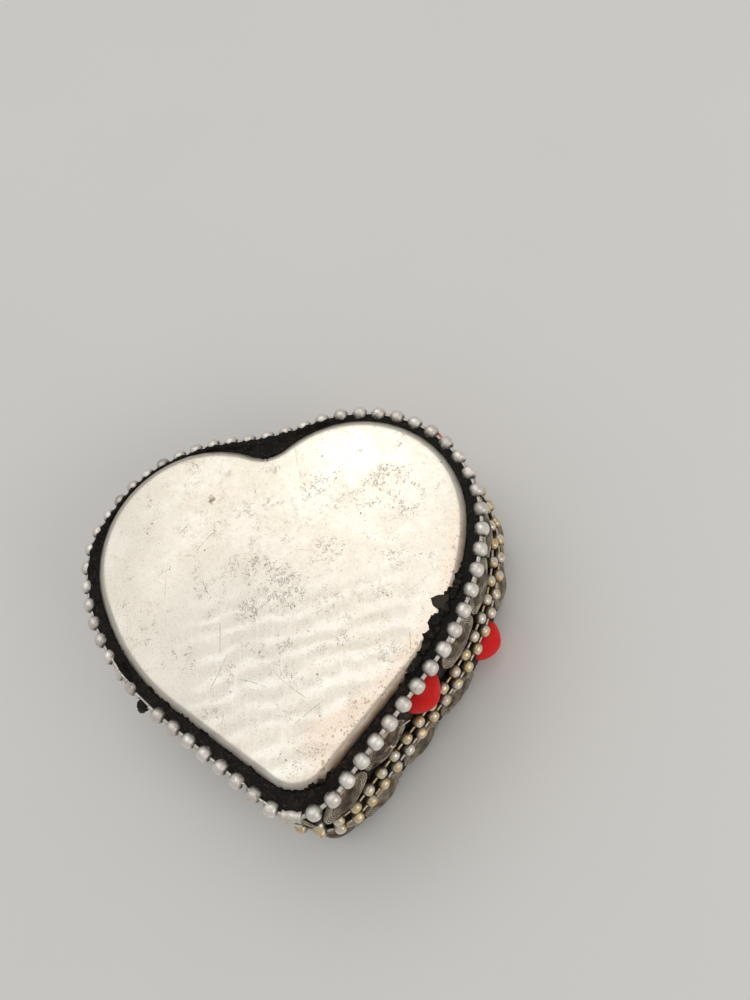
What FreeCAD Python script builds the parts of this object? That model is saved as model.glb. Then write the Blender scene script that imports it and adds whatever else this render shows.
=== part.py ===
"""Heart-shaped trinket box: two pressed tin shells in black lac bands, trimmed with ball
chain, stamped metal discs and red cabochons.  The lid lifts straight off the base.

Frame: millimetres, +Z up, the heart's tip towards -Y, its cleft towards +Y.  Z = 0 is the flat
underside of the base.  Every outline is the same heart, grown or shrunk by an offset that is
measured from the centre line of the large chain round the top.
"""
import FreeCAD
import Part
import Sketcher
import math
import os

from FreeCAD import Placement, Rotation, Vector

os.makedirs("parts", exist_ok=True)
doc = FreeCAD.newDocument("trinket_box")

# ---------------------------------------------------------------- driving dimensions
DIMENSIONS = [
    # the heart, along the centre line of the large chain
    ("lobe_x", 12.65, "half distance between the lobe centres"),
    ("lobe_y", 5.65, "lobe centres, behind the frame's origin"),
    ("lobe_radius", 20.54, "radius of each lobe"),
    ("flank_radius", 39.68, "radius of the curved flank"),
    ("band_flank_y", 10.24, "centre of the flank arc"),
    ("band_tip_y", -29.0, "centre of the tip arc"),
    ("band_tip", 7.17, "radius of the tip"),
    ("band_cleft", 50.0, "radius where the chain and lac bridge the cleft"),
    # the tins are beaten over a slightly fuller heart, with a blunter tip and a real cleft
    ("tin_flank_y", 9.3, "centre of the flank arc"),
    ("tin_tip_y", -27.3, "centre of the tip arc"),
    ("tin_tip", 8.3, "radius of the tip, before its offset"),
    ("tin_cleft", 4.0, "cleft radius, before its offset"),
    ("tin_shift", 0.6, "how far the tins sit towards the cleft inside the chain"),
    # heights
    ("floor", 0.0, "flat underside of the base"),
    ("lid_top", 27.15, "flat top of the lid"),
    ("top_chain_z", 26.15, "large chain"),
    ("lid_lac_top", 26.6, "upper edge of the lid's lac"),
    ("lid_band_z", 19.75, "row of ornaments on the lid"),
    ("lid_rim_chain_z", 14.0, "small chain on the lid's lower edge"),
    ("lid_seam", 12.98, "lower edge of the lid"),
    ("base_seam", 12.92, "upper edge of the base's lac"),
    ("base_rim_chain_z", 11.9, "small chain on the base's upper edge"),
    ("base_band_z", 6.0, "row of ornaments on the base"),
    ("base_neck_top", 18.0, "rim of the base tin, inside the lid"),
    ("base_belly_z", 1.5, "where the base's lac turns in"),
    ("base_lac_foot", 0.35, "lower edge of the base's lac"),
    # offsets from the large chain's centre line
    ("lid_tin_out", -2.0, "outside of the lid tin"),
    ("lid_tin_in", -2.4, "inside of the lid tin"),
    ("base_tin_out", -2.6, "outside of the base tin"),
    ("base_tin_in", -3.0, "inside of the base tin"),
    ("lid_lac_upper", -0.75, "lid lac at its upper edge"),
    ("lid_lac_lower", 0.6, "lid lac at the seam"),
    ("base_lac_upper", 1.65, "base lac at the seam"),
    ("base_lac_belly", 2.0, "base lac at its widest"),
    ("base_lac_toe", 1.0, "base lac at its lower edge"),
    ("lid_rim_chain_out", 1.0, "small chain on the lid"),
    ("base_rim_chain_out", 2.0, "small chain on the base"),
    # tin sheet
    ("tin", 0.4, "thickness of the sheet"),
    ("lid_shoulder", 1.4, "outer radius of the lid's shoulder"),
    ("base_shoulder", 1.0, "outer radius under the base"),
    # chain
    ("big_ball", 1.25, "ball radius, large chain"),
    ("big_link", 0.3, "link radius, large chain"),
    ("big_count", 61, "places round the large chain, one taken by the connector"),
    ("lost_ball", 51, "place of the ball lost from the left flank"),
    ("small_ball", 1.05, "ball radius, small chains"),
    ("small_link", 0.2, "link radius, small chains"),
    ("lid_small_count", 64, "balls in the lid's small chain"),
    ("base_small_count", 66, "balls in the base's small chain"),
    ("seat", 0.03, "clearance of a seat pressed into the lac"),
    ("connector_length", 3.0, "crimped tube that joins the large chain"),
    ("connector_wide", 0.95, "half width of the crimped tube"),
    ("connector_flat", 0.75, "half thickness of the crimped tube"),
    ("connector_bore", 0.48, "bore of the crimped tube"),
    ("connector_grip", 0.3, "length of link held in each end of the tube"),
    # ornaments
    ("ornament_count", 21, "ornaments in each row"),
    ("lid_first", 5.5, "first ornament of the lid, measured round from the tip"),
    ("base_first", 9.3, "first ornament of the base, measured round from the tip"),
    ("sunk", 0.6, "depth of an ornament's seat"),
    ("disc_radius", 4.7, "stamped disc"),
    ("disc_rim", 0.5, "height of the disc's rim above the lac"),
    ("disc_dome_radius", 3.5, "foot of the disc's dome"),
    ("disc_height", 1.45, "top of the disc's dome above the lac"),
    ("bead_wire", 0.22, "radius of the two ridges round the disc"),
    ("stone_radius", 3.8, "cabochon"),
    ("stone_height", 2.9, "top of the cabochon above the lac"),
]

sheet = doc.addObject("Spreadsheet::Sheet", "dims")
for row, (alias, number, note) in enumerate(DIMENSIONS, start=1):
    sheet.set(f"A{row}", note)
    sheet.set(f"B{row}", str(number))
    sheet.setAlias(f"B{row}", alias)
doc.recompute()


def dim(alias):
    """Value of one driving dimension."""
    return float(getattr(sheet, alias))


# ---------------------------------------------------------------- the heart
class Heart:
    """Right half of the band's or the tin's outline at one offset: centres, radii and the
    angles of the joints."""

    def __init__(self, offset, kind):
        self.lobe = Vector(dim("lobe_x"), dim("lobe_y"), 0)
        self.lobe_r = dim("lobe_radius") + offset
        self.flank_r = dim("flank_radius") + offset
        self.tip = Vector(0, dim(f"{kind}_tip_y"), 0)
        self.tip_r = dim(f"{kind}_tip") + offset
        cleft, flank_y = dim(f"{kind}_cleft"), dim(f"{kind}_flank_y")
        self.cleft_r = cleft - offset
        between = dim("flank_radius") - dim("lobe_radius")
        rise = flank_y - dim("lobe_y")
        self.flank = Vector(dim("lobe_x") - math.sqrt(between**2 - rise**2), flank_y, 0)
        reach = dim("lobe_radius") + cleft
        self.cleft = Vector(0, dim("lobe_y") + math.sqrt(reach**2 - dim("lobe_x") ** 2), 0)
        away = self.flank - self.tip
        lean = math.atan2(-away.x, away.y)
        self.side_angle = lean - math.asin((self.flank_r - self.tip_r) / away.Length)
        self.flank_angle = math.atan2(self.lobe.y - self.flank.y, self.lobe.x - self.flank.x)
        self.lobe_angle = math.atan2(self.cleft.y - self.lobe.y, self.cleft.x - self.lobe.x)
        self.cleft_angle = self.lobe_angle - math.pi


def on_circle(centre, radius, angle):
    return centre + Vector(radius * math.cos(angle), radius * math.sin(angle), 0)


def mirrored(point):
    return Vector(-point.x, point.y, point.z)


def add_heart_sketch(body, name, offset, kind, height):
    """Closed band or tin heart on the body's XY plane; offset and height are sheet aliases."""
    shape = Heart(dim(offset), kind)
    plane = next(item for item in body.Origin.OriginFeatures if item.Role == "XY_Plane")
    sketch = body.newObject("Sketcher::SketchObject", name)
    sketch.AttachmentSupport = [(plane, "")]
    sketch.MapMode = "FlatFace"
    sketch.AttachmentOffset = Placement(Vector(0, 0, dim(height)), Rotation())
    sketch.setExpression("AttachmentOffset.Base.z", f"dims.{height}")
    if kind == "tin":
        sketch.setExpression("AttachmentOffset.Base.y", "dims.tin_shift")

    def arc(centre, radius, start, end):
        circle = Part.Circle(centre, Vector(0, 0, 1), radius)
        return sketch.addGeometry(Part.ArcOfCircle(circle, start, end), False)

    def line(start, end):
        return sketch.addGeometry(Part.LineSegment(start, end), False)

    side, flank_a, lobe_a = shape.side_angle, shape.flank_angle, shape.lobe_angle
    tip_end = on_circle(shape.tip, shape.tip_r, side)
    flank_end = on_circle(shape.flank, shape.flank_r, side)
    half = math.pi
    cleft_arc = arc(shape.cleft, shape.cleft_r, -half - shape.cleft_angle, shape.cleft_angle)
    lobe_right = arc(shape.lobe, shape.lobe_r, flank_a, lobe_a)
    flank_right = arc(shape.flank, shape.flank_r, side, flank_a)
    line_right = line(flank_end, tip_end)
    tip_arc = arc(shape.tip, shape.tip_r, -half - side, side)
    line_left = line(mirrored(tip_end), mirrored(flank_end))
    flank_left = arc(mirrored(shape.flank), shape.flank_r, half - flank_a, half - side)
    lobe_left = arc(mirrored(shape.lobe), shape.lobe_r, half - lobe_a, half - flank_a)

    start, end, centre = 1, 2, 3
    joints = [
        (cleft_arc, end, lobe_right, end),
        (lobe_right, start, flank_right, end),
        (flank_right, start, line_right, start),
        (line_right, end, tip_arc, end),
        (tip_arc, start, line_left, start),
        (line_left, end, flank_left, end),
        (flank_left, start, lobe_left, end),
        (lobe_left, start, cleft_arc, start),
    ]
    for joint in joints:
        sketch.addConstraint(Sketcher.Constraint("Tangent", *joint))

    def bind(name, kind, where, value, expression):
        sketch.addConstraint(Sketcher.Constraint(kind, *where, value))
        sketch.renameConstraint(sketch.ConstraintCount - 1, name)
        sketch.setExpression(f"Constraints.{name}", expression)

    origin = (-1, 1)
    grown = f"dims.{offset}"
    flank_y = f"dims.{kind}_flank_y"
    for side_name, lobe, flank, sign in (
        ("right", lobe_right, flank_right, 1),
        ("left", lobe_left, flank_left, -1),
    ):
        across = (*origin, lobe, centre) if sign > 0 else (lobe, centre, *origin)
        bind(f"lobe_x_{side_name}", "DistanceX", across, shape.lobe.x, "dims.lobe_x")
        bind(f"lobe_y_{side_name}", "DistanceY", (*origin, lobe, centre), shape.lobe.y, "dims.lobe_y")
        bind(f"lobe_r_{side_name}", "Radius", (lobe,), shape.lobe_r, f"dims.lobe_radius + {grown}")
        bind(f"flank_y_{side_name}", "DistanceY", (*origin, flank, centre), shape.flank.y, flank_y)
        bind(f"flank_r_{side_name}", "Radius", (flank,), shape.flank_r, f"dims.flank_radius + {grown}")
    sketch.addConstraint(Sketcher.Constraint("PointOnObject", tip_arc, centre, -2))
    bind("tip_y", "DistanceY", (tip_arc, centre, *origin), -shape.tip.y, f"-dims.{kind}_tip_y")
    bind("tip_r", "Radius", (tip_arc,), shape.tip_r, f"dims.{kind}_tip + {grown}")
    bind("cleft_r", "Radius", (cleft_arc,), shape.cleft_r, f"dims.{kind}_cleft - {grown}")
    return sketch


def face_at(shape, height):
    """Name of the flat face that lies at one height."""
    for index, face in enumerate(shape.Faces, start=1):
        if abs(face.BoundBox.ZMin - height) < 1e-6 and abs(face.BoundBox.ZMax - height) < 1e-6:
            return f"Face{index}"
    raise ValueError(f"no flat face at {height}")


def heart_block(name, offset, low, high, closed, radius, inset=None):
    """Heart-shaped block between two heights, the rim of its closed end rounded.

    inset, where given, is how far inside that height the closed end lies."""
    body = doc.addObject("PartDesign::Body", name)
    sketch = add_heart_sketch(body, f"{name}_outline", offset, "tin", low)
    rim = dim(closed)
    length = f"dims.{high} - dims.{low}"
    if inset:
        length += f" - dims.{inset}"
        rim += dim(inset) if closed == low else -dim(inset)
    if inset and closed == low:
        sketch.setExpression("AttachmentOffset.Base.z", f"dims.{low} + dims.{inset}")
    doc.recompute()
    pad = body.newObject("PartDesign::Pad", f"{name}_pad")
    pad.Profile = sketch
    pad.setExpression("Length", length)
    doc.recompute()
    fillet = body.newObject("PartDesign::Fillet", f"{name}_rim")
    fillet.Base = (pad, [face_at(pad.Shape, rim)])
    fillet.setExpression("Radius", radius)
    doc.recompute()
    return body


def lac_blank(name, sections):
    """Solid band through heart outlines, before anything is seated in it."""
    body = doc.addObject("PartDesign::Body", name)
    outlines = []
    for index, (offset, height) in enumerate(sections):
        outlines.append(add_heart_sketch(body, f"{name}_{index}", offset, "band", height))
    doc.recompute()
    loft = body.newObject("PartDesign::AdditiveLoft", f"{name}_loft")
    loft.Profile = outlines[0]
    loft.Sections = outlines[1:]
    loft.Ruled = True
    doc.recompute()
    return body


# ---------------------------------------------------------------- the way round the box
def ring_edges(offset, height):
    """Edges round the band at one offset and height, from the tip towards +X and back."""
    shape = Heart(offset, "band")
    up = Vector(0, 0, height)
    side, flank_a, lobe_a = shape.side_angle, shape.flank_angle, shape.lobe_angle

    def arc(centre, radius, start, end):
        points = [on_circle(centre, radius, angle) for angle in (start, (start + end) / 2, end)]
        return Part.Arc(*[point + up for point in points])

    tip_end = on_circle(shape.tip, shape.tip_r, side) + up
    flank_end = on_circle(shape.flank, shape.flank_r, side) + up
    half = math.pi
    curves = [
        arc(shape.tip, shape.tip_r, -half / 2, side),
        Part.LineSegment(tip_end, flank_end),
        arc(shape.flank, shape.flank_r, side, flank_a),
        arc(shape.lobe, shape.lobe_r, flank_a, lobe_a),
        arc(shape.cleft, shape.cleft_r, shape.cleft_angle, -half - shape.cleft_angle),
        arc(mirrored(shape.lobe), shape.lobe_r, half - lobe_a, half - flank_a),
        arc(mirrored(shape.flank), shape.flank_r, half - flank_a, half - side),
        Part.LineSegment(mirrored(flank_end), mirrored(tip_end)),
        arc(shape.tip, shape.tip_r, -half - side, -half / 2),
    ]
    return [curve.toShape() for curve in curves]


def at_length(edges, length):
    """Point and outward normal at one distance round from the tip."""
    length %= sum(edge.Length for edge in edges)
    for edge in edges:
        if length <= edge.Length:
            place = edge.getParameterByLength(length)
            along = edge.tangentAt(place)
            return edge.valueAt(place), Vector(along.y, -along.x, 0)
        length -= edge.Length
    raise ValueError("length runs past the ring")


def groove_tools(offset, height, radius):
    """Round channel along the ring, one piece for each edge."""
    tools = []
    for edge in ring_edges(offset, height):
        start = edge.valueAt(edge.FirstParameter)
        along = edge.tangentAt(edge.FirstParameter)
        section = Part.Face(Part.Wire(Part.makeCircle(radius, start, along)))
        if isinstance(edge.Curve, Part.Circle):
            turn = math.degrees(edge.LastParameter - edge.FirstParameter)
            tools.append(section.revolve(edge.Curve.Center, edge.Curve.Axis, turn))
        else:
            tools.append(section.extrude(along * edge.Length))
    return tools


# ---------------------------------------------------------------- ball chain
def ball_chain(offset, height, ball, link, count, first, lost=None, tube=None):
    """Balls and the links between them, each a solid of its own.

    The lost place holds no ball.  At the tube's place the links end inside the connector."""
    edges = ring_edges(offset, height)
    step = sum(edge.Length for edge in edges) / count
    centres = [at_length(edges, (first + place) * step)[0] for place in range(count)]
    solids = [Part.makeSphere(ball, centres[p]) for p in range(count) if p not in (lost, tube)]
    sunk_end = math.sqrt(ball**2 - link**2)

    def link_end(place, side):
        """Anchor point and how far short of it the link stops; side is +1 ahead, -1 behind."""
        if place != tube:
            return centres[place], sunk_end
        outward = at_length(edges, (first + place) * step)[1]
        along = Vector(0, 0, 1).cross(outward)
        return centres[place] + along * side * (dim("connector_length") / 2 - dim("connector_grip")), 0

    for place in range(count):
        here, here_gap = link_end(place, 1)
        there, there_gap = link_end((place + 1) % count, -1)
        along = (there - here).normalize()
        length = (there - here).Length - here_gap - there_gap
        solids.append(Part.makeCylinder(link, length, here + along * here_gap, along))
    return solids


def add_feature(label, shape, placement=None):
    """Sub-part whose shape is worked out above from the sheet."""
    feature = doc.addObject("Part::Feature", label)
    feature.Label = label
    feature.Shape = shape
    if placement is not None:
        feature.Placement = placement
    return feature


def connector(label):
    """Crimped tube with its length along its own Z."""
    body = doc.addObject("PartDesign::Body", label)
    plane = next(item for item in body.Origin.OriginFeatures if item.Role == "XY_Plane")
    sketch = body.newObject("Sketcher::SketchObject", f"{label}_section")
    sketch.AttachmentSupport = [(plane, "")]
    sketch.MapMode = "FlatFace"
    wide, flat = dim("connector_wide"), dim("connector_flat")
    oval = Part.Ellipse(Vector(wide, 0, 0), Vector(0, flat, 0), Vector(0, 0, 0))
    sketch.addGeometry(oval, False)
    bore = sketch.addGeometry(Part.Circle(Vector(0, 0, 0), Vector(0, 0, 1), dim("connector_bore")), False)
    sketch.addConstraint(Sketcher.Constraint("Coincident", bore, 3, -1, 1))
    sketch.addConstraint(Sketcher.Constraint("Radius", bore, dim("connector_bore")))
    sketch.renameConstraint(1, "bore")
    sketch.setExpression("Constraints.bore", "dims.connector_bore")
    doc.recompute()
    pad = body.newObject("PartDesign::Pad", f"{label}_tube")
    pad.Profile = sketch
    pad.Midplane = True
    pad.setExpression("Length", "dims.connector_length")
    doc.recompute()
    return body


# ---------------------------------------------------------------- ornaments
def turned_form(name, points, arcs):
    """Body turned about its own Z from a half profile in the XZ plane.

    points run from the axis round to the axis; arcs maps a point's index to the middle point of
    the arc that leaves it."""
    body = doc.addObject("PartDesign::Body", name)
    plane = next(item for item in body.Origin.OriginFeatures if item.Role == "XZ_Plane")
    sketch = body.newObject("Sketcher::SketchObject", f"{name}_profile")
    sketch.AttachmentSupport = [(plane, "")]
    sketch.MapMode = "FlatFace"
    corners = [Vector(x, y, 0) for x, y in points]
    for index, here in enumerate(corners):
        there = corners[(index + 1) % len(corners)]
        if index in arcs:
            sketch.addGeometry(Part.Arc(here, Vector(*arcs[index], 0), there), False)
        else:
            sketch.addGeometry(Part.LineSegment(here, there), False)
    doc.recompute()
    turned = body.newObject("PartDesign::Revolution", f"{name}_turned")
    turned.Profile = sketch
    turned.ReferenceAxis = (sketch, ["V_Axis"])
    turned.Angle = 360
    doc.recompute()
    return body


def cap_radius(radius, height):
    return (radius**2 + height**2) / (2 * height)


def disc_form():
    """Stamped disc: a rim with two ridges round a low dome; its seat is below Z = 0."""
    radius, rim, wire = dim("disc_radius"), dim("disc_rim"), dim("bead_wire")
    foot, top = dim("disc_dome_radius"), dim("disc_height")
    ball = cap_radius(foot, top - rim)
    middle = foot / 2
    rise = top - ball + math.sqrt(ball**2 - middle**2)
    outer_ridge, inner_ridge = radius - wire, radius - 3 * wire - (radius - 4 * wire - foot) / 2
    points = [
        (0, -dim("sunk")),
        (radius, -dim("sunk")),
        (radius, rim),
        (outer_ridge - wire, rim),
        (inner_ridge + wire, rim),
        (inner_ridge - wire, rim),
        (foot, rim),
        (0, top),
    ]
    arcs = {
        2: (outer_ridge, rim + wire),
        4: (inner_ridge, rim + wire),
        6: (middle, rise),
    }
    return turned_form("disc_form", points, arcs)


def stone_form():
    """Red cabochon: a high dome on a short straight girdle."""
    radius, top = dim("stone_radius"), dim("stone_height")
    ball = cap_radius(radius, top)
    middle = radius * 0.7
    rise = top - ball + math.sqrt(ball**2 - middle**2)
    points = [(0, -dim("sunk")), (radius, -dim("sunk")), (radius, 0), (0, top)]
    return turned_form("stone_form", points, {2: (middle, rise)})


def wall_places(height, first, lower, upper):
    """Placements round a sloping wall, each with its own Z along the wall's outward normal.

    lower and upper are the (offset, height) pairs that the wall runs between."""
    (low_out, low_z), (high_out, high_z) = lower, upper
    slope = (high_out - low_out) / (high_z - low_z)
    offset = low_out + slope * (height - low_z)
    edges = ring_edges(offset, height)
    around = sum(edge.Length for edge in edges)
    on_chain = sum(edge.Length for edge in ring_edges(0, height))
    count = int(dim("ornament_count"))
    places = []
    for index in range(count):
        point, outward = at_length(edges, around * (first / on_chain + index / count))
        normal = Vector(outward.x, outward.y, -slope).normalize()
        along = Vector(0, 0, 1).cross(outward)
        places.append(Placement(point, Rotation(along, normal.cross(along), normal, "ZXY")))
    return places


def ornament_row(prefix, places, stones):
    """One node for each ornament, and the tools that cut their seats."""
    tools = []
    disc, stone = disc_form_body.Shape, stone_form_body.Shape
    numbers = {"disc": 0, "cabochon": 0}
    for index, place in enumerate(places):
        kind = "cabochon" if index in stones else "disc"
        numbers[kind] += 1
        form = stone if kind == "cabochon" else disc
        add_feature(f"{prefix}_{kind}_{numbers[kind]:02d}", form.copy(), place)
        radius = dim("stone_radius") if kind == "cabochon" else dim("disc_radius")
        depth = dim("sunk")
        tool = Part.makeCylinder(radius + dim("seat"), depth + dim("stone_height"), Vector(0, 0, -depth))
        tool.Placement = place
        tools.append(tool)
    return tools


def cut(label, base, tool):
    """Boolean cut of two document objects, kept as one sub-part."""
    node = doc.addObject("Part::Cut", label)
    node.Label = label
    node.Base = base
    node.Tool = tool
    return node


# ---------------------------------------------------------------- tin shells
lid_form = heart_block("lid_form", "lid_tin_out", "lid_seam", "lid_top", "lid_top", "dims.lid_shoulder")
lid_core = heart_block(
    "lid_core", "lid_tin_in", "lid_seam", "lid_top", "lid_top", "dims.lid_shoulder - dims.tin", "tin"
)
cut("lid_tin", lid_form, lid_core)

base_form = heart_block("base_form", "base_tin_out", "floor", "base_neck_top", "floor", "dims.base_shoulder")
base_core = heart_block(
    "base_core", "base_tin_in", "floor", "base_neck_top", "floor", "dims.base_shoulder - dims.tin", "tin"
)
cut("base_tin", base_form, base_core)

# ---------------------------------------------------------------- chains
BALL_ROWS = {
    "top": (0.0, dim("top_chain_z"), dim("big_ball")),
    "lid_rim": (dim("lid_rim_chain_out"), dim("lid_rim_chain_z"), dim("small_ball")),
    "base_rim": (dim("base_rim_chain_out"), dim("base_rim_chain_z"), dim("small_ball")),
}
big_count = int(dim("big_count"))
connector_place = big_count - 1
top_solids = ball_chain(
    *BALL_ROWS["top"], dim("big_link"), big_count, 0.5, int(dim("lost_ball")), connector_place
)
add_feature("lid_top_chain", Part.makeCompound(top_solids))
lid_rim = ball_chain(*BALL_ROWS["lid_rim"], dim("small_link"), int(dim("lid_small_count")), 0.7)
add_feature("lid_rim_chain", Part.makeCompound(lid_rim))
base_rim = ball_chain(*BALL_ROWS["base_rim"], dim("small_link"), int(dim("base_small_count")), 0.6)
add_feature("base_rim_chain", Part.makeCompound(base_rim))

top_edges = ring_edges(0.0, dim("top_chain_z"))
top_step = sum(edge.Length for edge in top_edges) / big_count
tube_point, tube_out = at_length(top_edges, (connector_place + 0.5) * top_step)
tube = connector("lid_chain_connector")
tube_along = Vector(0, 0, 1).cross(tube_out)
tube.Placement = Placement(tube_point, Rotation(tube_out, Vector(0, 0, 1), tube_along, "ZXY"))

# ---------------------------------------------------------------- ornaments and lac
disc_form_body = disc_form()
stone_form_body = stone_form()
STONES = {"lid": (2, 7, 12), "base": (3, 8, 13)}

lid_places = wall_places(
    dim("lid_band_z"),
    dim("lid_first"),
    (dim("lid_lac_lower"), dim("lid_seam")),
    (dim("lid_lac_upper"), dim("lid_lac_top")),
)
lid_tools = ornament_row("lid", lid_places, STONES["lid"])
base_places = wall_places(
    dim("base_band_z"),
    dim("base_first"),
    (dim("base_lac_belly"), dim("base_belly_z")),
    (dim("base_lac_upper"), dim("base_seam")),
)
base_tools = ornament_row("base", base_places, STONES["base"])


def groove(row):
    offset, height, ball = BALL_ROWS[row]
    return groove_tools(offset, height, ball + dim("seat"))


lid_blank = lac_blank("lid_lac_blank", [("lid_lac_lower", "lid_seam"), ("lid_lac_upper", "lid_lac_top")])
base_blank = lac_blank(
    "base_lac_blank",
    [
        ("base_lac_toe", "base_lac_foot"),
        ("base_lac_belly", "base_belly_z"),
        ("base_lac_upper", "base_seam"),
    ],
)
lid_seats = add_feature("lid_seats", Part.makeCompound(lid_tools))
lid_grooves = add_feature("lid_grooves", Part.makeCompound(groove("top") + groove("lid_rim")))
base_seats = add_feature("base_seats", Part.makeCompound(base_tools))
base_grooves = add_feature("base_grooves", Part.makeCompound(groove("base_rim")))

lid_hollow = cut("lid_lac_hollow", lid_blank, lid_form)
lid_grooved = cut("lid_lac_grooved", lid_hollow, lid_grooves)
cut("lid_lac_band", lid_grooved, lid_seats)
base_hollow = cut("base_lac_hollow", base_blank, base_form)
base_grooved = cut("base_lac_grooved", base_hollow, base_grooves)
cut("base_lac_band", base_grooved, base_seats)
doc.recompute()

# ---------------------------------------------------------------- check and write
NODES = ["lid_tin", "lid_lac_band", "lid_top_chain", "lid_chain_connector", "lid_rim_chain"]
NODES += ["base_tin", "base_lac_band", "base_rim_chain"]
NODES += [
    item.Label
    for item in doc.Objects
    if item.TypeId == "Part::Feature" and ("_disc_" in item.Label or "_cabochon_" in item.Label)
]
for item in doc.Objects:
    if "Invalid" in item.State or "Error" in item.State:
        raise RuntimeError(f"{item.Label} did not compute: {item.State}")
for label in NODES:
    node = doc.getObjectsByLabel(label)[0]
    if node.Shape.isNull() or not node.Shape.isValid():
        raise RuntimeError(f"{label} has no valid shape")
    node.Shape.exportStep(f"parts/{label}.step")
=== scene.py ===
import math
import random

import bpy
import numpy as np
from mathutils import Matrix, Vector, noise
from mathutils.bvhtree import BVHTree


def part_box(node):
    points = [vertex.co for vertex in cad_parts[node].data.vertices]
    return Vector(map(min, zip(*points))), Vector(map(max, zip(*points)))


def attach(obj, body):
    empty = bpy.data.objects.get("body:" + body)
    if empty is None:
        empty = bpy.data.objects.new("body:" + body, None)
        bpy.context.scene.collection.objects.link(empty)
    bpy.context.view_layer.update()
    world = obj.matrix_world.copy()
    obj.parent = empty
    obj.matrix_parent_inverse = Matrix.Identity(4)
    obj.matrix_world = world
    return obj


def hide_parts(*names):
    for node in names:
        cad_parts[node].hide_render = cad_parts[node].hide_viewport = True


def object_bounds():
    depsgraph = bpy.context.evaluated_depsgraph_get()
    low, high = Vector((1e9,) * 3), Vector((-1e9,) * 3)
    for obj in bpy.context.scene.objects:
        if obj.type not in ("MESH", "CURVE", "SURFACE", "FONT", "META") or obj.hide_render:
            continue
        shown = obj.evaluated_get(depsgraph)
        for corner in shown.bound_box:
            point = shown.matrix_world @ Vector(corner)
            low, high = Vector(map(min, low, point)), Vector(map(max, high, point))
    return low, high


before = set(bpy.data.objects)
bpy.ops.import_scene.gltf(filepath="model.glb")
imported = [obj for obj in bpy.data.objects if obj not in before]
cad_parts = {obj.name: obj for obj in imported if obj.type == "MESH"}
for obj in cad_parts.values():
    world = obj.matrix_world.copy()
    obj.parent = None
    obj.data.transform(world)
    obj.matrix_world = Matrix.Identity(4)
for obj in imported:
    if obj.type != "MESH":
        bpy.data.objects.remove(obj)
cad_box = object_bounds()
MM = 0.001
UP = np.array((0.0, 0.0, 1.0))

# ---------------------------------------------------------------- looks: sizes in millimetres
PLATE_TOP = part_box("lid_tin")[1].z / MM
BOX_TOP = cad_box[1].z / MM
WALL_LEVEL = PLATE_TOP - 4.0

# Chains: radius of the balls and of the links between them.
BIG_BALL = 1.25
BIG_LINK = 0.36
SMALL_BALL = 1.05
SMALL_LINK = 0.25
STRAND = 0.16
BALL_SIDES = 32
LINK_SIDES = 12

# Large chain, its balls counted from the tip towards +X.
OPEN_SEAM = 9
DARK_BALLS = (36, 39)
CRUSHED_BALLS = (49, 50)
LOST_BALL = (-24.1, -15.5)
LEFT_LOBE = (-12.65, 5.65)
SLIP_IN = 0.55
SLIP_DOWN = 0.8
TUBE_WIDE = 0.93
TUBE_FLAT = 0.73
TUBE_BORE = 0.55

# Ornaments. The ridges are a radius and a rise each, their section a step, a share of the rise
# and a painted brightness: above zero for wear and painted highlight on the crest, below zero
# for painted shade in the grooves. Discs whose centre is within TIP_HALF of the middle are bent at
# the tip.
DISC_RADIUS = 4.7
DISC_FOOT = 3.3
DISC_RIM = 0.5
DISC_TOP = 1.45
RIDGES = ((3.47, 0.2), (3.82, 0.18), (4.17, 0.16), (4.52, 0.12))
RIDGE_SECTION = (
    (-0.145, 0, -1), (-0.085, 0.75, 0.5), (0, 1, 1), (0.085, 0.75, 0.5), (0.145, 0, -1),
)
ORNAMENT_SIDES = 72
STONE_RADIUS = 3.8
STONE_TOP = 2.9
TIP_BEND = 9.0
TIP_START = -31.0
TIP_HALF = 3.5

# Lac.
LAC_GRAIN = 0.22
LAC_LEVEL = 26.5
SKIN_STEPS = 980
SKIN_ROWS = 46
SKIN_THICK = 0.22
SKIN_LIMIT = BOX_TOP - 0.03
CRUMBS = 72

# Accidents: wires as place, radius, turn and sweep; beads as place and radius.
FLAKE = (24.6, -9.4, PLATE_TOP - 0.38)
WIRES = (((15.0, -24.6, 21.2), 1.5, 2.4, 1.9), ((13.0, -27.9, 21.0), 1.2, 3.4, 1.5))
WIRE_THICK = 0.2
STRAYS = (((25.3, -14.6, 24.6), 0.72), ((27.1, -11.4, 24.4), 0.66))

FLOOR_HALF = 1500.0
FLOOR_LEVEL = -0.02


# ---------------------------------------------------------------- meshes
def rows_of(items, key, width=3, kind=float):
    """One property of a mesh's vertices or edges, a row for each."""
    values = np.empty(len(items) * width, dtype=kind)
    items.foreach_get(key, values)
    return values.reshape(-1, width)


def node_points(name):
    """Vertices of a CAD node, in millimetres."""
    return rows_of(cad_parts[name].data.vertices, "co") / MM


def middle_of(points):
    return (points.min(axis=0) + points.max(axis=0)) / 2


def search_tree(names):
    """Search tree over the faces of CAD nodes, in millimetres."""
    points, faces = [], []
    for name in names:
        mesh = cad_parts[name].data
        start = len(points)
        points += [vertex.co / MM for vertex in mesh.vertices]
        faces += [tuple(index + start for index in face) for face in faces_of(mesh)]
    return BVHTree.FromPolygons(points, faces)


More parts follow.
